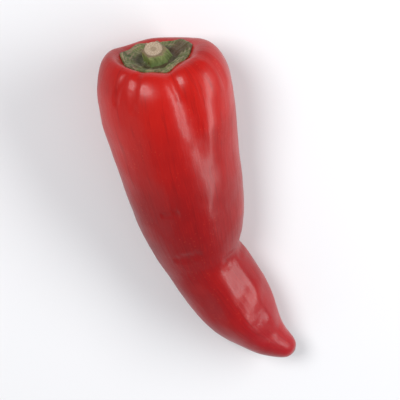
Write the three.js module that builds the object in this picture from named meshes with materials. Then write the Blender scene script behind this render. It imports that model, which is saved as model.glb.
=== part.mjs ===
// Sweet pointed pepper as picked: a bent, lobed fruit lying on its side, with its green calyx and a
// short cut stem. Millimetres, +Z up, the stem towards +X. The fruit lies on z = 0, and the origin is
// under the middle of the pepper's bounding box.
import * as THREE from "three";

// ---- driving dimensions ----
const fruitLength = 143; // from the shoulder's rim to the tip
const shoulderRadius = 26.4; // mean radius at the widest place
const rimRadius = 13.2; // the ring where the shoulder turns down into the hollow under the calyx
const hollowDepth = 3.6; // the hollow that the stem grows out of
const shoulderLength = 13; // from the rim to the widest place
const shoulderSquareness = 2.4; // 2 is an ellipse
const widthShare = 1.03; // the lying fruit is a little wider than it is high
const heightShare = 0.93;
const seatGap = 0.35; // clear space between pieces that touch
const calyxThickness = 1.7;
const stemHeight = 5; // from the rim's level to the cut
const stemRadius = 4.2; // at the cut

// ---- the fruit's bent axis ----
// Each row: how far the axis has come from the rim, how far it has bowed to +Y, and its height.
const axisRows = [
  [-1.2, -0.3, 26.6],
  [18, 4.2, 23.4],
  [41, 9.4, 21.3],
  [66, 14.2, 18.6],
  [86, 17.2, 14.6],
  [101, 15.2, 13.6],
  [115, 12.6, 13.3],
  [126, 9.4, 13],
  [135, 5.2, 12.5],
  [fruitLength, -0.6, 12],
];
const axis = new THREE.CatmullRomCurve3(
  axisRows.map(([along, bow, height]) => new THREE.Vector3(-along, bow, height)),
  false,
  "centripetal",
);
axis.arcLengthDivisions = 400;
const axisLength = axis.getLength();
const worldUp = new THREE.Vector3(0, 0, 1);

// The axis point, and the sideways and upward directions of the cross-section, at a distance along it.
// Before the rim, where the calyx and stem are, the axis runs on straight.
function crossSection(along) {
  const share = THREE.MathUtils.clamp(along / axisLength, 0, 1);
  const centre = axis.getPointAt(share);
  const forward = axis.getTangentAt(share).normalize();
  if (along < 0) centre.addScaledVector(forward, along);
  const side = new THREE.Vector3().crossVectors(worldUp, forward).normalize();
  const up = new THREE.Vector3().crossVectors(forward, side).normalize();
  return { centre, side, up };
}

// ---- the fruit's skin ----
// Mean radius from the widest place to the tip: share of the axis's length, share of shoulderRadius.
const taperRows = [
  [shoulderLength / axisLength, 1],
  [0.2, 0.97],
  [0.29, 0.905],
  [0.38, 0.865],
  [0.47, 0.79],
  [0.55, 0.675],
  [0.61, 0.6],
  [0.7, 0.585],
  [0.79, 0.54],
  [0.84, 0.44],
  [0.885, 0.32],
  [0.93, 0.23],
  [0.97, 0.16],
  [0.991, 0.095],
  [1, 0],
];

// Distance from the rim down to the skin, at a radius inside the widest place: the hollow under the
// calyx, then the round shoulder.
function seat(radius) {
  if (radius < rimRadius) return (hollowDepth * (1 + Math.cos((Math.PI * radius) / rimRadius))) / 2;
  const across = Math.min(1, (radius - rimRadius) / (shoulderRadius - rimRadius));
  return shoulderLength * (1 - (1 - across ** shoulderSquareness) ** (1 / shoulderSquareness));
}

// Lobes lift the shoulder round the calyx, furrows run down between them, and dents are pressed into
// the skin. Angles are in degrees round the axis: 0 faces -Y, 90 faces up, 180 faces +Y. A furrow's
// reach and a dent's place are shares of the axis's length.
const lobes = [
  { angle: 5, width: 48, lift: 3.9 },
  { angle: 178, width: 58, lift: 7 },
  { angle: 272, width: 36, lift: 1.4 },
];
const lobeStart = 13.4; // the radius where a lobe starts to rise, just outside the rim
const lobeCrest = 1.15; // more than 1 puts the lobe's crest nearer the widest place
const furrows = [
  { angle: 78, width: 17, depth: 2.6, reach: 0.34 },
  { angle: 205, width: 22, depth: 1.8, reach: 0.5 },
  { angle: 325, width: 20, depth: 1.8, reach: 0.5 },
];
const dents = [
  { along: 0.585, angle: 0, length: 8, width: 45, depth: 1.8 }, // the crease inside the bend
  { along: 0.58, angle: 95, length: 11, width: 26, depth: 0.8 },
  { along: 0.36, angle: 38, length: 24, width: 20, depth: 1 },
];

function bump(distance, width) {
  return Math.exp(-((distance / width) ** 2));
}

function angleBetween(a, b) {
  return Math.abs(THREE.MathUtils.euclideanModulo(a - b + 180, 360) - 180);
}

// How far the lobes lift the shoulder towards the stem.
function lobeLift(radius, angle) {
  if (radius < lobeStart) return 0;
  const across = (radius - lobeStart) / (shoulderRadius - lobeStart);
  let lift = 0;
  for (const lobe of lobes) lift += lobe.lift * bump(angleBetween(angle, lobe.angle), lobe.width);
  return lift * Math.sin(Math.PI * Math.min(1, across) ** lobeCrest);
}

// Places a point given by its radius, its angle round the axis in degrees and its distance from the rim.
function place(radius, angle, distance) {
  const along = distance < shoulderLength ? distance - lobeLift(radius, angle) : distance;
  const share = along / axisLength;
  let sink = 0;
  for (const furrow of furrows) {
    const near = bump(angleBetween(angle, furrow.angle), furrow.width);
    sink += furrow.depth * near * bump(share, furrow.reach);
  }
  for (const dent of dents) {
    const away = along - dent.along * axisLength;
    sink += dent.depth * bump(angleBetween(angle, dent.angle), dent.width) * bump(away, dent.length);
  }
  const { centre, side, up } = crossSection(along);
  const turn = THREE.MathUtils.degToRad(angle);
  const reach = radius - sink * Math.min(1, radius / shoulderRadius);
  centre.addScaledVector(side, reach * Math.cos(turn) * widthShare);
  centre.addScaledVector(up, reach * Math.sin(turn) * heightShare);
  return centre;
}

// Turns a lathe of (radius, distance) into a piece on the bent axis: shape places each of its points.
function grow(profile, segments, shape) {
  const geometry = new THREE.LatheGeometry(profile, segments);
  const position = geometry.getAttribute("position");
  for (let i = 0; i < position.count; i++) {
    const radius = Math.hypot(position.getX(i), position.getZ(i));
    const angle = THREE.MathUtils.radToDeg(Math.atan2(position.getX(i), position.getZ(i)));
    const grown = shape(radius, angle, position.getY(i));
    position.setXYZ(i, grown.x, grown.y, grown.z);
  }
  geometry.computeVertexNormals();
  return geometry;
}

function fruitProfile() {
  const points = [];
  const hollowSteps = 5;
  for (let i = 0; i < hollowSteps; i++) {
    const radius = (rimRadius * i) / hollowSteps;
    points.push(new THREE.Vector2(radius, seat(radius)));
  }
  const shoulderSteps = 8;
  for (let i = 0; i < shoulderSteps; i++) {
    const across = Math.sin((Math.PI / 2) * (i / shoulderSteps));
    const radius = rimRadius + (shoulderRadius - rimRadius) * across;
    points.push(new THREE.Vector2(radius, seat(radius)));
  }
  const taper = new THREE.SplineCurve(
    taperRows.map(([along, share]) => new THREE.Vector2(share * shoulderRadius, along * axisLength)),
  );
  const taperSteps = 34;
  for (let i = 0; i < taperSteps; i++) points.push(taper.getPointAt(i / taperSteps));
  points.push(new THREE.Vector2(0, axisLength));
  return points;
}

// The fruit settles on the ground, which presses its underside flat.
function fruitPlace(radius, angle, along) {
  const point = place(radius, angle, along);
  point.z = Math.max(point.z, 0);
  return point;
}

// ---- the calyx ----
// The corners of its outline, one for each sepal: angle round the axis and radius.
const sepals = [
  [-7, 14.2],
  [36, 11.6],
  [84, 13.4],
  [148, 14.8],
  [199, 15.2],
  [247, 15.6],
  [318, 15.2],
];
const outline = new THREE.CatmullRomCurve3(
  sepals.map(([angle, radius]) => {
    const turn = THREE.MathUtils.degToRad(angle);
    return new THREE.Vector3(radius * Math.cos(turn), radius * Math.sin(turn), 0);
  }),
  true,
  "catmullrom",
  0.35,
);
const grooveRadius = 7.2; // the ring round the foot of the stem
const grooveWidth = 1.6;
const grooveDepth = 0.6;

function calyxTop(radius) {
  const groove = grooveDepth * bump(radius - grooveRadius, grooveWidth);
  return seat(radius) - seatGap - calyxThickness + groove;
}

// The lathe's radius is a share of the outline, and its angle a place on the outline. Its side is 1 on
// the upper face and -1 on the lower one.
function calyxPlace(share, angle, side) {
  const corner = outline.getPoint(THREE.MathUtils.euclideanModulo(angle / 360, 1));
  const radius = share * Math.hypot(corner.x, corner.y);
  const along = side > 0 ? calyxTop(radius) : seat(radius) - seatGap;
  return place(radius, THREE.MathUtils.radToDeg(Math.atan2(corner.y, corner.x)), along);
}

function calyxProfile() {
  const points = [];
  const steps = 9;
  for (let i = 0; i <= steps; i++) points.push(new THREE.Vector2(i / steps, 1));
  for (let i = steps; i >= 0; i--) points.push(new THREE.Vector2(i / steps, -1));
  return points;
}

// ---- the stem ----
// In the lathe's profile, 0 is the foot and 1 the cut.
const ribCount = 5;
const ribDepth = 0.06;
const footFlare = 1.4;
const stemLean = 1; // towards +Y
const cutSlope = 0.27; // the knife went through at a slant, so that the cut faces up a little

function stemPlace(radius, angle, rise) {
  const rib = 1 + ribDepth * Math.cos(THREE.MathUtils.degToRad(ribCount * angle));
  const flare = 1 + (footFlare - 1) * (1 - rise) ** 2;
  const across = radius * rib * flare;
  const foot = calyxTop(across) - seatGap;
  const cut = -stemHeight + cutSlope * across * Math.sin(THREE.MathUtils.degToRad(angle));
  const point = place(across, angle, THREE.MathUtils.lerp(foot, cut, rise));
  point.y += stemLean * rise;
  return point;
}

function stemProfile() {
  const points = [new THREE.Vector2(0, 1), new THREE.Vector2(stemRadius / 2, 1)];
  const steps = 6;
  for (let i = 0; i <= steps; i++) points.push(new THREE.Vector2(stemRadius, 1 - i / steps));
  points.push(new THREE.Vector2(stemRadius / 2, 0), new THREE.Vector2(0, 0));
  return points;
}

// ---- the pepper ----
function makePiece(name, geometry, color, roughness) {
  const material = new THREE.MeshStandardMaterial({ color, roughness, metalness: 0 });
  const piece = new THREE.Mesh(geometry, material);
  piece.name = name;
  return piece;
}

const fruitSegments = 44;
const calyxSegments = 42;
const stemSegments = 30;

const pepper = new THREE.Group();
pepper.add(makePiece("fruit", grow(fruitProfile(), fruitSegments, fruitPlace), 0xa8120f, 0.25));
pepper.add(makePiece("calyx", grow(calyxProfile(), calyxSegments, calyxPlace), 0x5a6a3c, 0.6));
pepper.add(makePiece("stem", grow(stemProfile(), stemSegments, stemPlace), 0x6f7d4a, 0.65));

const box = new THREE.Box3().setFromObject(pepper);
const middle = box.getCenter(new THREE.Vector3());
pepper.position.set(-middle.x, -middle.y, -box.min.z);

export default pepper;
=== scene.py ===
import math
import random
import bpy
import numpy as np
from mathutils import Matrix, Vector


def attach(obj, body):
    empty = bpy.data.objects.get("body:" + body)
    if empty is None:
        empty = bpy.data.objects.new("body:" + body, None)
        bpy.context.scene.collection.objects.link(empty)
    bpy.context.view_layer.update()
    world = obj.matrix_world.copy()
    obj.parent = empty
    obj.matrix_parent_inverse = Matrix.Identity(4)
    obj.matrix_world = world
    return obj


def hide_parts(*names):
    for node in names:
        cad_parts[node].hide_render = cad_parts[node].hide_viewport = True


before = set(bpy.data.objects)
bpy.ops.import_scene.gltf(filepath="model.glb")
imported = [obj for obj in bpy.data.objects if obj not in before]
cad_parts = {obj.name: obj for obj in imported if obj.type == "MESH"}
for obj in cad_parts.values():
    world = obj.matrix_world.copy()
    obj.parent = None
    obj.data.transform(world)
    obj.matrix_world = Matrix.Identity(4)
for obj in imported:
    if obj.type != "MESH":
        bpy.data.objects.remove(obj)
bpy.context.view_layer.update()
sceneNow = bpy.context.scene
chance = random.Random(7)


# camera: from above, on the stem's side, rolled so that the pepper hangs from top left to bottom right
camera = {
    "elevation": 72,
    "roll": 25.5,
    "distance": 0.95,
    "lens": 212,  # mm
    "clip": (0.01, 20),
}


def meshPoints(piece):
    flat = np.empty(len(piece.data.vertices) * 3)
    piece.data.vertices.foreach_get("co", flat)
    return flat.reshape(-1, 3)


def makeCamera():
    tilt, roll = math.radians(camera["elevation"]), math.radians(camera["roll"])
    back = Vector((math.cos(tilt), 0, math.sin(tilt)))
    levelUp = Vector((math.sin(tilt), 0, -math.cos(tilt)))
    levelRight = levelUp.cross(back)
    up = levelUp * math.cos(roll) + levelRight * math.sin(roll)
    right = up.cross(back)
    # the aim is the middle of what the camera sees of the fruit
    points = meshPoints(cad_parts["fruit"])
    aim = Vector()
    for direction in (right, up, back):
        reach = points @ np.array(direction)
        aim += direction * float(reach.min() + reach.max()) / 2
    bpy.ops.object.camera_add()
    eye = bpy.context.active_object
    eye.name = "camera"
    turn = Matrix((right, up, back)).transposed().to_4x4()
    eye.matrix_world = Matrix.Translation(aim + back * camera["distance"]) @ turn
    eye.data.lens = camera["lens"]
    eye.data.clip_start, eye.data.clip_end = camera["clip"]
    sceneNow.camera = eye


makeCamera()
print("camera placed")


# the spine that the fruit grew along, from the shoulder's rim to the tip
spine = {
    "rim": (0.06589, -0.00554),  # x and y of its start
    # how far along, how far bowed to +Y, and the height, in metres
    "points": [
        (-0.0012, -0.0003, 0.0266),
        (0.018, 0.0042, 0.0234),
        (0.041, 0.0094, 0.0213),
        (0.066, 0.0142, 0.0186),
        (0.086, 0.0172, 0.0146),
        (0.101, 0.0152, 0.0136),
        (0.115, 0.0126, 0.0133),
        (0.126, 0.0094, 0.013),
        (0.135, 0.0052, 0.0125),
        (0.143, -0.0006, 0.012),
    ],
    "steps": 44,  # samples between two points
    "spare": 0.012,  # how far it runs on straight past both ends
    "spareSteps": 20,
}


def sampleSpine():
    corners = [Vector((spine["rim"][0] - a, spine["rim"][1] + b, h)) for a, b, h in spine["points"]]
    corners = [corners[0] * 2 - corners[1]] + corners + [corners[-1] * 2 - corners[-2]]
    line = []
    for p0, p1, p2, p3 in zip(corners, corners[1:], corners[2:], corners[3:]):
        for k in range(spine["steps"]):
            t = k / spine["steps"]
            bend = (2 * p0 - 5 * p1 + 4 * p2 - p3) * t ** 2 + (3 * p1 - p0 - 3 * p2 + p3) * t ** 3
            line.append((2 * p1 + (p2 - p0) * t + bend) / 2)
    line.append(corners[-2])
    first = (line[0] - line[1]).normalized() * spine["spare"]
    last = (line[-1] - line[-2]).normalized() * spine["spare"]
    count = spine["spareSteps"]
    line = [line[0] + first * (1 - k / count) for k in range(count)] + line
    line += [line[-1] + last * k / count for k in range(1, count + 1)]
    return np.array(line)


spineLine = sampleSpine()
spineForward = np.gradient(spineLine, axis=0)
spineForward /= np.linalg.norm(spineForward, axis=1)[:, None]
spineSteps = np.linalg.norm(np.diff(spineLine, axis=0), axis=1)
spineAlong = np.concatenate([[0], np.cumsum(spineSteps)]) - spine["spare"]
spineLength = float(spineAlong[-1]) - spine["spare"]


def spineFrame(along):
    # the point, then the directions to the tip, to -Y and up
    centre = Vector([np.interp(along, spineAlong, spineLine[:, k]) for k in range(3)])
    forward = Vector([np.interp(along, spineAlong, spineForward[:, k]) for k in range(3)]).normalized()
    side = Vector((0, 0, 1)).cross(forward).normalized()
    return centre, forward, side, forward.cross(side)


def ringTurn(along):
    centre, forward, side, up = spineFrame(along)
    return Matrix((side, up, forward)).transposed().to_euler()


def unroll(points):
    # for each point: how far along the spine, the angle round it in degrees, and the distance from it
    nearest = np.empty(len(points), int)
    blockSize = 4000  # keeps the table of gaps small
    for start in range(0, len(points), blockSize):
        block = points[start:start + blockSize]
        gaps = ((block[:, None] - spineLine[None]) ** 2).sum(2)
        nearest[start:start + blockSize] = gaps.argmin(1)
    forward = spineForward[nearest]
    side = np.cross((0, 0, 1), forward)
    side /= np.linalg.norm(side, axis=1)[:, None]
    up = np.cross(forward, side)
    away = points - spineLine[nearest]
    along = spineAlong[nearest] + (away * forward).sum(1)
    across, rise = (away * side).sum(1), (away * up).sum(1)
    return along, np.degrees(np.arctan2(rise, across)), np.hypot(across, rise)


def angleFrom(angle, middle):
    # in degrees, from -180 to 180
    return (angle - middle + 180) % 360 - 180


def polar(points):
    # radius and turn round the local Z axis
    return np.hypot(points[:, 0], points[:, 1]), np.arctan2(points[:, 1], points[:, 0])


def deselectAll():
    if bpy.context.mode != "OBJECT":
        bpy.ops.object.mode_set(mode="OBJECT")
    bpy.ops.object.select_all(action="DESELECT")


def onlySelect(piece):
    deselectAll()
    piece.select_set(True)
    bpy.context.view_layer.objects.active = piece


def applyModifier(piece, kind, **settings):
    onlySelect(piece)
    modifier = piece.modifiers.new(kind, kind)
    for name, value in settings.items():
        setattr(modifier, name, value)
    bpy.ops.object.modifier_apply(modifier=modifier.name)


def subdivide(piece, levels):
    applyModifier(piece, "SUBSURF", levels=levels, render_levels=levels)


def selectVertices(piece, chosen):
    # leaves the piece in edit mode with only the chosen vertices selected
    onlySelect(piece)
    bpy.context.tool_settings.mesh_select_mode = (True, False, False)
    bpy.ops.object.mode_set(mode="EDIT")
    bpy.ops.mesh.select_all(action="DESELECT")
    bpy.ops.object.mode_set(mode="OBJECT")
    piece.data.vertices.foreach_set("select", chosen)
    bpy.ops.object.mode_set(mode="EDIT")


def selectAll(piece):
    selectVertices(piece, np.ones(len(piece.data.vertices), bool))


def selectRange(piece, first, last):
    chosen = np.zeros(len(piece.data.vertices), bool)
    chosen[first:last] = True
    selectVertices(piece, chosen)


def pressSkin(piece, chosen, depth, width):
    # pushes the chosen vertices in, or out where depth is negative, and their neighbours less and less
    if not chosen.any():
        return
    selectVertices(piece, chosen)
    bpy.ops.transform.shrink_fatten(value=-depth, use_proportional_edit=True, proportional_size=width,
                                    proportional_edit_falloff="SMOOTH")
    bpy.ops.object.mode_set(mode="OBJECT")


def nearPath(flat, path, reach):
    # which of the flat points lie within reach of a path
    found = np.zeros(len(flat), bool)
    for start, end in zip(path[:-1], path[1:]):
        a = np.array(start)
        d = np.array(end) - a
        t = np.clip((flat - a) @ d / (d @ d), 0, 1)
        found |= np.linalg.norm(flat - (a + t[:, None] * d), axis=1) < reach
    return found


def storePlace(piece, name, values):
    attribute = piece.data.attributes.new(name, "FLOAT_VECTOR", "POINT")
    attribute.data.foreach_set("vector", np.ascontiguousarray(values, dtype=np.float32).ravel())


fruit = {
    "around": 36,  # vertices in each ring
    # the rings: distance along the spine and radius, from the hollow under the calyx to the tip
    "hollow": [(0.0033, 0.003), (0.0023, 0.0068), (0.0008, 0.0104), (0, 0.0132)],
    "shoulder": [(-0.0006, 0.0155), (-0.001, 0.018), (0.0005, 0.021), (0.0045, 0.0245), (0.010, 0.0262)],
    "body": [(0.0165, 0.0264), (0.023, 0.0262), (0.030, 0.0256), (0.037, 0.0247), (0.044, 0.0238),
             (0.051, 0.0231), (0.058, 0.0224), (0.065, 0.0214), (0.072, 0.0201), (0.079, 0.0186),
             (0.085, 0.0170), (0.0895, 0.0160), (0.094, 0.0157), (0.100, 0.0155), (0.107, 0.0151),
             (0.114, 0.0145), (0.121, 0.0132), (0.1265, 0.0112), (0.1315, 0.0088), (0.1362, 0.0070),
             (0.1405, 0.0058), (0.1440, 0.0046), (0.1470, 0.0033)],
    "tipStep": 0.0020,  # from the last ring to the tip
    # where the shoulder stands out past the rim: angle and height
    "lobes": [(178, 0.005)],
    "lobeWidth": 0.015,
    # the part of the shoulder that is pulled: half its breadth, least radius and how far along it reaches
    "lobeTop": (0.008, 0.0175, 0.004),
    "smoothing": 0.3,
    "swell": 0.0006,  # what the smoothing takes off
    "levels": 3,
    "ringReach": 0.004,  # a ring's radius is the middle one of the skin's this near along the spine
    "creaseLine": 0.0006,  # half the breadth of a crease's bottom
    "dentFloor": 0.002,  # radius of a dent's bottom
    # marks on the skin: path of (distance along, angle), depth and width; a depth below 0 stands proud
    "creases": [
        ([(-0.001, 82), (0.018, 76), (0.038, 74)], 0.0004, 0.007),
        ([(-0.001, 82), (0.012, 78), (0.026, 75)], 0.0003, 0.0055),
        ([(-0.001, 82), (0.008, 79), (0.016, 77)], 0.0003, 0.004),
        ([(-0.001, 82), (0.004, 80), (0.009, 78)], 0.0003, 0.0026),
        ([(-0.001, 119), (0.004, 125), (0.011, 127)], 0.0004, 0.0022),
        ([(-0.001, 133), (0.003, 141), (0.008, 147)], 0.00035, 0.0018),
        ([(-0.001, 34), (0.005, 30), (0.011, 30)], 0.0003, 0.003),
        ([(0.0862, -28), (0.0877, 8), (0.0892, 38), (0.0882, 58)], 0.0006, 0.0040),
        ([(0.0912, -18), (0.0932, 14), (0.0942, 32)], 0.0003, 0.0026),
        ([(0.0822, -12), (0.0827, 14), (0.0842, 26)], 0.00025, 0.0026),
        ([(0.0585, 109), (0.0588, 117), (0.0592, 124)], 0.0005, 0.0014),
        ([(0.0782, 100), (0.0787, 112), (0.0795, 124)], 0.0004, 0.0030),
        ([(0.02, 90), (0.045, 84), (0.073, 82), (0.093, 84), (0.119, 100), (0.136, 112)], -0.0007, 0.010),
        ([(0.097, 66), (0.113, 70), (0.131, 78)], 0.0007, 0.006),
        ([(0.101, 20), (0.117, 24), (0.133, 34)], 0.0003, 0.006),
    ],
    # soft dents: distance along, angle, depth and width
    "dents": [
        (0.040, 48, 0.0007, 0.014),
        (0.062, 40, 0.0006, 0.012),
        (0.055, 128, 0.0006, 0.013),
        (0.030, 150, 0.0005, 0.012),
        (0.107, 130, 0.0004, 0.009),
        (0.104, 48, 0.0005, 0.008),
        (0.119, 36, 0.0004, 0.007),
        (0.113, 62, -0.0004, 0.006),
        (0.129, 58, -0.0003, 0.005),
        (0.048, 215, 0.0006, 0.014),
        (0.070, 320, 0.0005, 0.012),
        (0.026, 290, 0.0006, 0.013),
    ],
    # uneven skin: size of the waves and their height
    "waves": [(0.022, 0.0010), (0.010, 0.0003)],
}


def makeFruitCage():
    deselectAll()
    size = fruit["around"]
    for number, (along, radius) in enumerate(fruit["hollow"] + fruit["shoulder"] + fruit["body"]):
        bpy.ops.mesh.primitive_circle_add(vertices=size, radius=radius, location=spineFrame(along)[0],
                                          rotation=ringTurn(along))
        if number == 0:
            cage = bpy.context.active_object
            cage.name = "pepperFruit"
            bpy.ops.object.transform_apply()
            bpy.ops.object.mode_set(mode="EDIT")
        else:
            bpy.ops.object.mode_set(mode="OBJECT")
            selectRange(cage, (number - 1) * size, (number + 1) * size)
            bpy.ops.mesh.bridge_edge_loops()
    bpy.ops.object.mode_set(mode="OBJECT")
    # both ends close on a pole
    rings = len(cage.data.vertices) // size
    for ring, step in ((rings - 1, fruit["tipStep"]), (0, 0)):
        selectRange(cage, ring * size, (ring + 1) * size)
        bpy.ops.mesh.extrude_edges_move()
        bpy.ops.transform.translate(value=spineFrame(spineLength)[1] * step)
        bpy.ops.mesh.merge(type="CENTER")
        bpy.ops.object.mode_set(mode="OBJECT")
    selectAll(cage)
    bpy.ops.mesh.normals_make_consistent(inside=False)
    bpy.ops.object.mode_set(mode="OBJECT")
    return cage


def addWaves(piece, size, height):
    clouds = bpy.data.textures.new("skinWaves", "CLOUDS")
    clouds.noise_scale = size
    clouds.noise_depth = 1
    applyModifier(piece, "DISPLACE", texture=clouds, texture_coords="LOCAL", strength=height, mid_level=0.5)


def raiseLobes(piece):
    along, angle, radius = unroll(meshPoints(piece))
    breadth, least, reach = fruit["lobeTop"]
    for turn, height in fruit["lobes"]:
        around = np.radians(angleFrom(angle, turn)) * radius
        selectVertices(piece, (np.abs(around) < breadth) & (radius > least) & (along < reach))
        bpy.ops.transform.translate(value=-spineFrame(0)[1] * height, use_proportional_edit=True,
                                    proportional_size=fruit["lobeWidth"], proportional_edit_falloff="SMOOTH")
        bpy.ops.object.mode_set(mode="OBJECT")


def markSkin(piece):
    along, angle, radius = unroll(meshPoints(piece))
    # the skin laid out flat, with the angle as a distance round the ring
    for path, depth, width in fruit["creases"]:
        middleAlong, middleAngle = path[len(path) // 2]
        flat = np.column_stack([along, np.radians(angleFrom(angle, middleAngle)) * radius])
        ringRadius = float(np.median(radius[np.abs(along - middleAlong) < fruit["ringReach"]]))
        flatPath = [(a, math.radians(b - middleAngle) * ringRadius) for a, b in path]
        pressSkin(piece, nearPath(flat, flatPath, fruit["creaseLine"]), depth, width)
    for place, turn, depth, width in fruit["dents"]:
        around = np.radians(angleFrom(angle, turn)) * radius
        pressSkin(piece, np.hypot(along - place, around) < fruit["dentFloor"], depth, width)


def makeFruit():
    piece = makeFruitCage()
    raiseLobes(piece)
    applyModifier(piece, "SHRINKWRAP", target=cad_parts["fruit"], wrap_method="NEAREST_SURFACEPOINT")
    # the hollow keeps its depth
    selectRange(piece, len(fruit["hollow"]) * fruit["around"], len(piece.data.vertices))
    bpy.ops.transform.shrink_fatten(value=fruit["swell"])
    selectAll(piece)
    bpy.ops.mesh.vertices_smooth(factor=fruit["smoothing"], repeat=1)
    bpy.ops.object.mode_set(mode="OBJECT")
    subdivide(piece, fruit["levels"])
    markSkin(piece)
    for size, height in fruit["waves"]:
        addWaves(piece, size, height)
    # nothing sinks into the surface that the pepper lies on
    selectVertices(piece, meshPoints(piece)[:, 2] < 0)
    bpy.ops.transform.resize(value=(1, 1, 0), center_override=(0, 0, 0))
    bpy.ops.object.mode_set(mode="OBJECT")
    along, angle, radius = unroll(meshPoints(piece))
    turn = np.radians(angle)
    storePlace(piece, "skinPlace", np.column_stack([np.cos(turn), np.sin(turn), along / spineLength]))
    onlySelect(piece)
    bpy.ops.object.shade_smooth()
    return piece


pepperFruit = makeFruit()
print("fruit grown,", len(pepperFruit.data.vertices), "vertices")


calyx = {
    # one corner for each sepal: angle round the spine and radius
    "sepals": [(-7, 0.0153), (36, 0.0128), (84, 0.0144), (148, 0.0156), (199, 0.0158), (247, 0.0161),
               (318, 0.0160)],
    "cuts": 5,  # new vertices between two corners
    "rings": [0.94, 0.86, 0.76, 0.66, 0.57, 0.49, 0.42, 0.34, 0.22],
    "sink": 0.0003,  # it has grown into the skin
    "thickness": 0.0011,
    "smoothing": 0.3,
    "levels": 2,
    "veins": 15,
    "veinStart": 0.0078,  # radius
    "veinEnd": (0.011, 0.016),  # least and greatest radius
    "veinLine": 0.00025,  # half the breadth of its crest
    "veinHeight": 0.0003,
    "veinWidth": 0.0011,
    "foldLine": 0.012,  # half the breadth of a fold's crest, as a share of the way to the outline
    "foldWander": 0.03,  # how far a fold strays from the outline's shape, as such a share
    # folds that follow the outline: share of the way to it, from and to which angle, height and width
    "folds": [
        (0.68, -12, 76, 0.00045, 0.0012),
        (0.81, -4, 84, 0.00045, 0.0011),
        (0.92, 4, 66, 0.0004, 0.0009),
        (0.74, 128, 196, 0.0003, 0.0013),
        (0.88, 140, 186, 0.00025, 0.001),
        (0.80, 232, 300, 0.0003, 0.0013),
    ],
    # radius, height and width of the thick part that the stem grows from
    "middle": (0.0040, 0.0018, 0.0075),
    "groove": (0.0074, 0.0007, 0.0015),  # radius, depth and width of the ring round the stem
    "grooveLine": 0.0003,  # half the breadth of its bottom
}


def growDisc(name, corners, cuts, shares):
    # a flat disc in the plane across the spine's start, its rings drawn in towards the middle
    deselectAll()
    bpy.ops.mesh.primitive_circle_add(vertices=len(corners), radius=0.01)
    piece = bpy.context.active_object
    piece.name = name
    for number, (angle, radius) in enumerate(corners):
        turn = math.radians(angle)
        goal = Vector((radius * math.cos(turn), radius * math.sin(turn), 0))
        step = goal - piece.data.vertices[number].co
        selectRange(piece, number, number + 1)
        bpy.ops.transform.translate(value=step)
        bpy.ops.object.mode_set(mode="OBJECT")
    selectAll(piece)
    bpy.ops.mesh.subdivide(number_cuts=cuts)
    share = 1
    for nextShare in shares:
        bpy.ops.mesh.extrude_edges_move()
        bpy.ops.transform.resize(value=[nextShare / share] * 3, center_override=(0, 0, 0))
        share = nextShare
    bpy.ops.mesh.extrude_edges_move()
    bpy.ops.mesh.merge(type="CENTER")
    bpy.ops.object.mode_set(mode="OBJECT")
    return piece


def standOnSpine(piece):
    piece.location = spineFrame(0)[0]
    piece.rotation_euler = ringTurn(0)


def ridgeCalyx(piece):
    points = meshPoints(piece)
    upper = normalsOf(piece)[:, 2] < 0
    radius, turn = polar(points)
    angle = np.degrees(turn)
    for number in range(calyx["veins"]):
        middle = (number + chance.uniform(-0.25, 0.25)) * 360 / calyx["veins"]
        reach = chance.uniform(*calyx["veinEnd"])
        away = np.radians(angleFrom(angle, middle)) * radius
        crest = (np.abs(away) < calyx["veinLine"]) & (radius > calyx["veinStart"]) & (radius < reach)
        height = calyx["veinHeight"] * chance.uniform(0.5, 1.2)
        pressSkin(piece, upper & crest, -height, calyx["veinWidth"])
    middleRadius, height, width = calyx["middle"]
    pressSkin(piece, upper & (radius < middleRadius), -height, width)
    place = radius / edgeRadius(angle)
    for share, first, last, height, width in calyx["folds"]:
        middle, half = (first + last) / 2, (last - first) / 2
        away = angleFrom(angle, middle)
        wander = share + calyx["foldWander"] * np.sin(np.radians(away * 4 + middle))
        crest = np.abs(place - wander) < calyx["foldLine"]
        pressSkin(piece, upper & crest & (np.abs(away) < half), -height, width)
    ring, depth, width = calyx["groove"]
    pressSkin(piece, upper & (np.abs(radius - ring) < calyx["grooveLine"]), depth, width)


def makeCalyx():
    piece = growDisc("pepperCalyx", calyx["sepals"], calyx["cuts"], calyx["rings"])
    standOnSpine(piece)
    bpy.context.view_layer.update()
    applyModifier(piece, "SHRINKWRAP", target=pepperFruit, wrap_method="PROJECT", use_project_z=True,
                  use_negative_direction=True, use_positive_direction=True, wrap_mode="ON_SURFACE")
    selectAll(piece)
    bpy.ops.mesh.normals_make_consistent(inside=False)
    bpy.ops.mesh.vertices_smooth(factor=calyx["smoothing"], repeat=1)
    bpy.ops.object.mode_set(mode="OBJECT")
    piece.data.transform(Matrix.Translation((0, 0, calyx["sink"])))
    flipToStem(piece)
    applyModifier(piece, "SOLIDIFY", thickness=calyx["thickness"], offset=1, use_even_offset=True)
    subdivide(piece, calyx["levels"])
    ridgeCalyx(piece)
    radius, turn = polar(meshPoints(piece))
    edge = edgeRadius(np.degrees(turn))
    storePlace(piece, "calyxPlace", np.column_stack([np.cos(turn), np.sin(turn), radius / edge]))
    onlySelect(piece)
    bpy.ops.object.transform_apply()
    bpy.ops.object.shade_smooth()
    return piece


def edgeRadius(angle):
    # radius of the sepals' outline at an angle
    corners = sorted((a % 360, r) for a, r in calyx["sepals"])
    angles = [corners[-1][0] - 360] + [a for a, r in corners] + [corners[0][0] + 360]
    radii = [corners[-1][1]] + [r for a, r in corners] + [corners[0][1]]
    return np.interp(angle % 360, angles, radii)


def normalsOf(piece):
    flat = np.empty(len(piece.data.vertices) * 3)
    piece.data.vertices.foreach_get("normal", flat)
    return flat.reshape(-1, 3)


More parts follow.
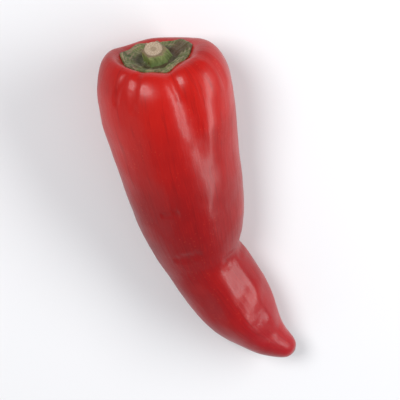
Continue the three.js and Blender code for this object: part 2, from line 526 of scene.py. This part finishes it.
def flipToStem(piece):
    # an open sheet's upper face has to look to the stem, which is the local -Z
    if normalsOf(piece)[:, 2].mean() > 0:
        selectAll(piece)
        bpy.ops.mesh.flip_normals()
        bpy.ops.object.mode_set(mode="OBJECT")


pepperCalyx = makeCalyx()
print("calyx made,", len(pepperCalyx.data.vertices), "vertices")


stem = {
    "around": 30,
    # the rings: height over the rim's level towards the stem and radius, from the foot to the cut
    "rings": [(-0.0024, 0.0060), (-0.0012, 0.0056), (-0.0002, 0.0052), (0.0008, 0.0050), (0.0018, 0.0049),
              (0.0028, 0.0046), (0.0036, 0.0041)],
    "cut": [(0.0041, 0.0038), (0.0042, 0.0033), (0.00405, 0.0022), (0.0040, 0.0011)],
    "lean": 0.001,  # of the cut towards +Y
    "slope": 0.27,  # of the cut, which faces up a little
    "ribs": 6,
    "ribLine": 0.0002,  # half the breadth of its crest
    "ribHeight": 0.0006,
    "ribWidth": 0.0013,
    "core": 0.004,  # the ribs lie outside this radius
    "levels": 2,
}


def makeStem():
    deselectAll()
    rings = stem["rings"] + stem["cut"]
    top = stem["rings"][-1][0]
    footHeight, footRadius = rings[0]
    bpy.ops.mesh.primitive_circle_add(vertices=stem["around"], radius=footRadius,
                                      location=(0, 0, -footHeight))
    piece = bpy.context.active_object
    piece.name = "pepperStem"
    bpy.ops.object.transform_apply()
    selectAll(piece)
    for (low, wide), (high, narrow) in zip(rings, rings[1:]):
        bpy.ops.mesh.extrude_edges_move()
        bpy.ops.transform.translate(value=(0, 0, low - high))
        bpy.ops.transform.resize(value=[narrow / wide] * 2 + [1], center_override=(0, 0, 0))
    bpy.ops.mesh.extrude_edges_move()
    bpy.ops.mesh.merge(type="CENTER")
    bpy.ops.object.mode_set(mode="OBJECT")
    selectRange(piece, 0, stem["around"])
    bpy.ops.mesh.extrude_edges_move()
    bpy.ops.mesh.merge(type="CENTER")
    bpy.ops.object.mode_set(mode="OBJECT")
    selectAll(piece)
    bpy.ops.mesh.normals_make_consistent(inside=False)
    bpy.ops.object.mode_set(mode="OBJECT")
    subdivide(piece, stem["levels"])
    points = meshPoints(piece)
    radius, turn = polar(points)
    onSide = (-points[:, 2] < top) & (radius > stem["core"])
    for number in range(stem["ribs"]):
        middle = (number + chance.uniform(-0.15, 0.15)) * 360 / stem["ribs"]
        away = np.radians(angleFrom(np.degrees(turn), middle)) * radius
        pressSkin(piece, onSide & (np.abs(away) < stem["ribLine"]), -stem["ribHeight"], stem["ribWidth"])
    points = meshPoints(piece)
    height = np.clip(-points[:, 2] / top, 0, None)
    radius, turn = polar(points)
    place = [np.cos(turn) * radius, np.sin(turn) * radius, -points[:, 2]]
    storePlace(piece, "stemPlace", np.column_stack(place))
    # the slanted cut and the lean
    points[:, 2] += stem["slope"] * points[:, 1] * height ** 3
    points[:, 0] -= stem["lean"] * height
    piece.data.vertices.foreach_set("co", points.ravel())
    standOnSpine(piece)
    onlySelect(piece)
    bpy.ops.object.transform_apply()
    bpy.ops.object.shade_smooth()
    return piece


pepperStem = makeStem()
print("stem made,", len(pepperStem.data.vertices), "vertices")


def newMaterial(name, settings=None):
    material = bpy.data.materials.new(name)
    material.use_nodes = True
    shader = material.node_tree.nodes["Principled BSDF"]
    for socket, value in (settings or {}).items():
        shader.inputs[socket].default_value = value
    return material, material.node_tree, shader


def addNode(tree, kind, links=None, **settings):
    # links feed the node's sockets, by name or number; a setting is a socket's value or the node's own
    node = tree.nodes.new("ShaderNode" + kind)
    for name, value in settings.items():
        if name in node.inputs:
            node.inputs[name].default_value = value
        else:
            setattr(node, name, value)
    for socket, source in (links or {}).items():
        tree.links.new(source, node.inputs[socket])
    return node


def addNoise(tree, vector, scale, detail=3, roughness=0.55):
    node = addNode(tree, "TexNoise", {"Vector": vector}, Scale=scale, Detail=detail, Roughness=roughness)
    return node.outputs["Fac"]


def stretch(tree, vector, x, y, z):
    node = addNode(tree, "VectorMath", {0: vector}, operation="MULTIPLY")
    node.inputs[1].default_value = (x, y, z)
    return node.outputs["Vector"]


def spread(tree, value, low, high, toLow=0, toHigh=1):
    node = addNode(tree, "MapRange", {"Value": value}, interpolation_type="SMOOTHSTEP")
    for socket, number in (("From Min", low), ("From Max", high), ("To Min", toLow), ("To Max", toHigh)):
        node.inputs[socket].default_value = number
    return node.outputs["Result"]


def feed(tree, socket, value):
    # a plain number or colour, or the output of another node
    if isinstance(value, bpy.types.NodeSocket):
        tree.links.new(value, socket)
    elif isinstance(value, tuple):
        socket.default_value = (*value, 1)
    else:
        socket.default_value = value


def calculate(tree, operation, first, second):
    node = addNode(tree, "Math", operation=operation)
    feed(tree, node.inputs[0], first)
    feed(tree, node.inputs[1], second)
    return node.outputs["Value"]


def multiply(tree, first, second):
    return calculate(tree, "MULTIPLY", first, second)


def tint(tree, base, color, amount):
    # mixes a colour into another one
    node = addNode(tree, "Mix", data_type="RGBA")
    feed(tree, node.inputs["A"], base)
    feed(tree, node.inputs["B"], color)
    feed(tree, node.inputs["Factor"], amount)
    return [socket for socket in node.outputs if socket.type == "RGBA"][0]


def ramp(tree, value, stops):
    node = addNode(tree, "ValToRGB", {"Fac": value})
    points = node.color_ramp.elements
    for number, (place, color) in enumerate(stops):
        point = points[number] if number < 2 else points.new(place)
        point.position = place
        point.color = (*color, 1)
    return node.outputs["Color"]


def addBumps(tree, shader, layers):
    # layers are (height, depth in metres), from the finest to the broadest
    normal = None
    for height, depth in layers:
        bump = addNode(tree, "Bump", {"Height": height}, Distance=depth)
        if normal:
            tree.links.new(normal, bump.inputs["Normal"])
        normal = bump.outputs["Normal"]
    tree.links.new(normal, shader.inputs["Normal"])


skin = {
    # share of the way from the rim to the tip, and the colour there
    "colors": [
        (0.0, (0.45, 0.004, 0.001)),
        (0.17, (0.43, 0.003, 0.001)),
        (0.40, (0.27, 0.001, 0.002)),
        (0.70, (0.27, 0.001, 0.004)),
        (1.0, (0.38, 0.004, 0.010)),
    ],
    "deep": (0.15, 0.0002, 0.0012),
    "bright": (0.56, 0.012, 0.003),
    "speck": (0.66, 0.09, 0.04),
    "scar": (0.10, 0.045, 0.02),
    "shine": 0.26,  # specular level
    "coat": 0.15,
    "coatRoughness": 0.16,
    "roughness": (0.3, 0.42),
    "subsurface": 0.05,
    "subsurfaceScale": 0.003,
    "subsurfaceRadius": (1, 0.08, 0.04),
    "scarStart": (0.978, 0.99),  # shares of the way to the tip
    # how fine the marks are: a larger number makes them smaller
    "patchScale": 26,
    "speckScale": 620,
    "smearScale": 60,
    # bumps: how fine, and depth in metres
    "grain": (1500, 0.000006),
    "pits": (160, 0.00006),
    "ripples": (62, 0.0005),
    "hairDepth": 0.00001,
    "streakDepth": 0.00012,
}


def makeSkin():
    material, tree, shader = newMaterial("pepperSkin", {
        "Specular IOR Level": skin["shine"],
        "Coat Weight": skin["coat"],
        "Coat Roughness": skin["coatRoughness"],
        "Subsurface Weight": skin["subsurface"],
        "Subsurface Scale": skin["subsurfaceScale"],
        "Subsurface Radius": skin["subsurfaceRadius"],
    })
    here = addNode(tree, "TexCoord").outputs["Object"]
    place = addNode(tree, "Attribute", attribute_name="skinPlace").outputs["Vector"]
    along = addNode(tree, "SeparateXYZ", {"Vector": place}).outputs["Z"]
    color = ramp(tree, along, skin["colors"])
    # broad patches, then streaks that run from the stem to the tip
    patches = addNoise(tree, here, skin["patchScale"], 4)
    color = tint(tree, color, skin["deep"], spread(tree, patches, 0.45, 0.72, 0, 0.42))
    color = tint(tree, color, skin["bright"], spread(tree, patches, 0.5, 0.25, 0, 0.3))
    streaks = addNoise(tree, stretch(tree, place, 9, 9, 5), 1.6, 5, 0.65)
    color = tint(tree, color, skin["deep"], spread(tree, streaks, 0.5, 0.75, 0, 0.4))
    hairs = addNoise(tree, stretch(tree, place, 42, 42, 14), 1.5, 4, 0.6)
    color = tint(tree, color, skin["bright"], spread(tree, hairs, 0.5, 0.8, 0, 0.35))
    # pale specks under the wax
    cells = addNode(tree, "TexVoronoi", {"Vector": here}, Scale=skin["speckScale"], Randomness=1)
    specks = spread(tree, cells.outputs["Distance"], 0.26, 0.1)
    sparse = spread(tree, addNoise(tree, here, 90, 2), 0.45, 0.65)
    color = tint(tree, color, skin["speck"], multiply(tree, multiply(tree, specks, sparse), 0.2))
    color = tint(tree, color, skin["scar"], spread(tree, along, *skin["scarStart"], 0, 0.8))
    tree.links.new(color, shader.inputs["Base Color"])
    smears = addNoise(tree, here, skin["smearScale"], 4)
    tree.links.new(spread(tree, smears, 0.3, 0.7, *skin["roughness"]), shader.inputs["Roughness"])
    grain, grainDepth = skin["grain"]
    pits, pitDepth = skin["pits"]
    ripples, rippleDepth = skin["ripples"]
    addBumps(tree, shader, [
        (addNoise(tree, here, grain, 2), grainDepth),
        (hairs, skin["hairDepth"]),
        (addNoise(tree, here, pits, 3), pitDepth),
        (addNoise(tree, here, ripples, 2), rippleDepth),
        (streaks, skin["streakDepth"]),
    ])
    return material


green = {
    "fibres": [
        (0.28, (0.034, 0.050, 0.010)),
        (0.45, (0.085, 0.108, 0.026)),
        (0.58, (0.160, 0.175, 0.056)),
        (0.75, (0.290, 0.280, 0.130)),
    ],
    "brown": (0.075, 0.032, 0.010),
    "corky": (0.33, 0.23, 0.14),
    # the colour of the painted shade in the groove round the stem
    "shade": (0.016, 0.026, 0.004),
    "rim": (0.27, 0.22, 0.12),
    "patch": (0.927, -0.375, 0),  # which way from the stem the brown patch lies
    "roughness": (0.72, 0.5),
    "stainScale": 160,
    # bumps: how fine, and depth in metres
    "grain": (1800, 0.00006),
    "foldDepth": 0.0006,
    "fibreDepth": 0.0004,
}


def makeCalyxGreen():
    material, tree, shader = newMaterial("calyxGreen")
    here = addNode(tree, "TexCoord").outputs["Object"]
    place = addNode(tree, "Attribute", attribute_name="calyxPlace").outputs["Vector"]
    share = addNode(tree, "SeparateXYZ", {"Vector": place}).outputs["Z"]
    fibres = addNoise(tree, stretch(tree, place, 13, 13, 2.2), 1, 5, 0.7)
    color = ramp(tree, fibres, green["fibres"])
    stains = addNoise(tree, here, green["stainScale"], 4)
    color = tint(tree, color, green["brown"], spread(tree, stains, 0.52, 0.68, 0, 0.8))
    # pale folds that follow the outline
    folds = addNoise(tree, stretch(tree, place, 1.6, 1.6, 13), 1.3, 4, 0.65)
    outer = spread(tree, share, 0.5, 0.72)
    corky = multiply(tree, spread(tree, folds, 0.47, 0.66, 0, 0.85), outer)
    color = tint(tree, color, green["corky"], corky)
    # the pale, ragged rim
    ragged = calculate(tree, "ADD", share, multiply(tree, addNoise(tree, here, 420, 3), 0.06))
    color = tint(tree, color, green["rim"], spread(tree, ragged, 0.975, 1.02, 0, 0.85))
    # the dark ring round the stem: painted shade in the groove, dark green and dark brown mixed at random
    ring = multiply(tree, spread(tree, share, 0.34, 0.42), spread(tree, share, 0.66, 0.54))
    # painted shade tones for the groove, from dark green to dark brown
    grooveShadeTones = ramp(tree, addNoise(tree, here, 70, 2), [(0.4, green["shade"]), (0.6, green["brown"])])
    shade = tint(tree, grooveShadeTones, green["shade"], 0.3)
    color = tint(tree, color, shade, multiply(tree, ring, 0.8))
    # the brown patch
    towards = addNode(tree, "VectorMath", {0: place}, operation="DOT_PRODUCT")
    towards.inputs[1].default_value = green["patch"]
    sector = spread(tree, towards.outputs["Value"], 0.86, 0.97)
    patch = multiply(tree, sector, spread(tree, share, 0.36, 0.46))
    patch = multiply(tree, patch, spread(tree, share, 0.96, 0.8, 0, 0.8))
    color = tint(tree, color, green["brown"], patch)
    tree.links.new(color, shader.inputs["Base Color"])
    tree.links.new(spread(tree, fibres, 0.3, 0.7, *green["roughness"]), shader.inputs["Roughness"])
    grain, grainDepth = green["grain"]
    addBumps(tree, shader, [
        (addNoise(tree, here, grain, 3), grainDepth),
        (folds, green["foldDepth"]),
        (fibres, green["fibreDepth"]),
    ])
    return material


stalk = {
    "fibres": [
        (0.28, (0.065, 0.090, 0.018)),
        (0.48, (0.145, 0.180, 0.045)),
        (0.70, (0.300, 0.320, 0.115)),
    ],
    "foot": (0.060, 0.105, 0.014),
    "dry": (0.22, 0.155, 0.075),
    "cut": [
        (0.32, (0.30, 0.205, 0.13)),
        (0.50, (0.44, 0.325, 0.22)),
        (0.68, (0.62, 0.49, 0.36)),
    ],
    "bark": (0.13, 0.085, 0.036),
    "pith": (0.24, 0.165, 0.095),
    "roughness": (0.75, 0.5),
    "stainScale": 300,
    # bumps: how fine, and depth in metres
    "grain": (2200, 0.00006),
    "cutDepth": 0.00007,
    "fibreDepth": 0.0004,
}


def makeStalk():
    material, tree, shader = newMaterial("stalkGreen")
    here = addNode(tree, "TexCoord").outputs["Object"]
    place = addNode(tree, "Attribute", attribute_name="stemPlace").outputs["Vector"]
    height = addNode(tree, "SeparateXYZ", {"Vector": place}).outputs["Z"]
    flatPlace = stretch(tree, place, 1, 1, 0)
    radius = addNode(tree, "VectorMath", {0: flatPlace}, operation="LENGTH").outputs["Value"]
    fibres = addNoise(tree, stretch(tree, place, 900, 900, 130), 1, 5, 0.7)
    color = ramp(tree, fibres, stalk["fibres"])
    color = tint(tree, color, stalk["foot"], spread(tree, height, 0.0022, -0.0012, 0, 0.7))
    stains = addNoise(tree, here, stalk["stainScale"], 4)
    color = tint(tree, color, green["brown"], spread(tree, stains, 0.56, 0.7, 0, 0.7))
    top = stem["rings"][-1][0]
    wobble = multiply(tree, addNoise(tree, here, 700, 3), 0.0008)
    ragged = calculate(tree, "ADD", height, wobble)
    color = tint(tree, color, stalk["dry"], spread(tree, ragged, top - 0.0008, top + 0.0004, 0, 0.8))
    # the cut: pale fibres in rings, a dark edge and a soft middle
    rays = addNoise(tree, stretch(tree, place, 2100, 2100, 0), 1, 4, 0.6)
    wood = ramp(tree, rays, stalk["cut"])
    edge = stem["cut"][0][1]
    wood = tint(tree, wood, stalk["bark"], spread(tree, radius, edge * 0.82, edge * 1.02, 0, 0.85))
    wood = tint(tree, wood, stalk["pith"], spread(tree, radius, edge * 0.42, edge * 0.22, 0, 0.6))
    color = tint(tree, color, wood, spread(tree, height, top + 0.0001, top + 0.00035))
    tree.links.new(color, shader.inputs["Base Color"])
    tree.links.new(spread(tree, fibres, 0.3, 0.7, *stalk["roughness"]), shader.inputs["Roughness"])
    grain, grainDepth = stalk["grain"]
    addBumps(tree, shader, [
        (addNoise(tree, here, grain, 3), grainDepth),
        (rays, stalk["cutDepth"]),
        (fibres, stalk["fibreDepth"]),
    ])
    return material


pepperFruit.data.materials.append(makeSkin())
pepperCalyx.data.materials.append(makeCalyxGreen())
pepperStem.data.materials.append(makeStalk())
print("finishes ready")

parts = ((pepperFruit, "fruit", "skin"), (pepperCalyx, "calyx", "calyx"), (pepperStem, "stem", "stem"))
for piece, node, slot in parts:
    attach(piece, "root")
    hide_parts(node)


# floor and light
studio = {
    "floorColors": [(0.80, 0.80, 0.81), (0.82, 0.82, 0.83)],
    "floorSize": 12,
    "floorRoughness": (0.55, 0.65),
    "worldColor": (0.93, 0.95, 1.0),
    "worldStrength": 0.38,
    # name: place, width, depth, power in watts
    "lights": {
        "keyLight": ((0.55, 0.30, 0.85), 0.45, 0.45, 6.5),
        "sideLight": ((-0.25, -0.75, 0.55), 1.3, 0.32, 8),
        "backLight": ((-0.30, 1.20, 0.45), 1.2, 0.8, 1),
    },
}


def makeFloorPaint():
    material, tree, shader = newMaterial("paleFloor")
    here = addNode(tree, "TexCoord").outputs["Object"]
    cloud = addNoise(tree, here, 3, 3)
    low, high = studio["floorColors"]
    tree.links.new(ramp(tree, cloud, [(0.3, low), (0.7, high)]), shader.inputs["Base Color"])
    tree.links.new(spread(tree, cloud, 0.3, 0.7, *studio["floorRoughness"]), shader.inputs["Roughness"])
    return material


def makeStudio():
    deselectAll()
    bpy.ops.mesh.primitive_plane_add(size=studio["floorSize"])
    floor = bpy.context.active_object
    floor.name = "floor"
    floor.data.materials.append(makeFloorPaint())
    for name, (place, width, depth, power) in studio["lights"].items():
        bpy.ops.object.light_add(type="AREA", location=place)
        light = bpy.context.active_object
        light.name = name
        light.data.shape = "ELLIPSE"
        light.data.size = width
        light.data.size_y = depth
        light.data.energy = power
        light.rotation_euler = (-Vector(place)).to_track_quat("-Z", "Y").to_euler()
    sceneNow.world = bpy.data.worlds.new("studioAir")
    sceneNow.world.use_nodes = True
    sky = sceneNow.world.node_tree.nodes["Background"]
    sky.inputs["Color"].default_value = (*studio["worldColor"], 1)
    sky.inputs["Strength"].default_value = studio["worldStrength"]
    sceneNow.view_settings.view_transform = "Standard"


makeStudio()
print("studio ready")
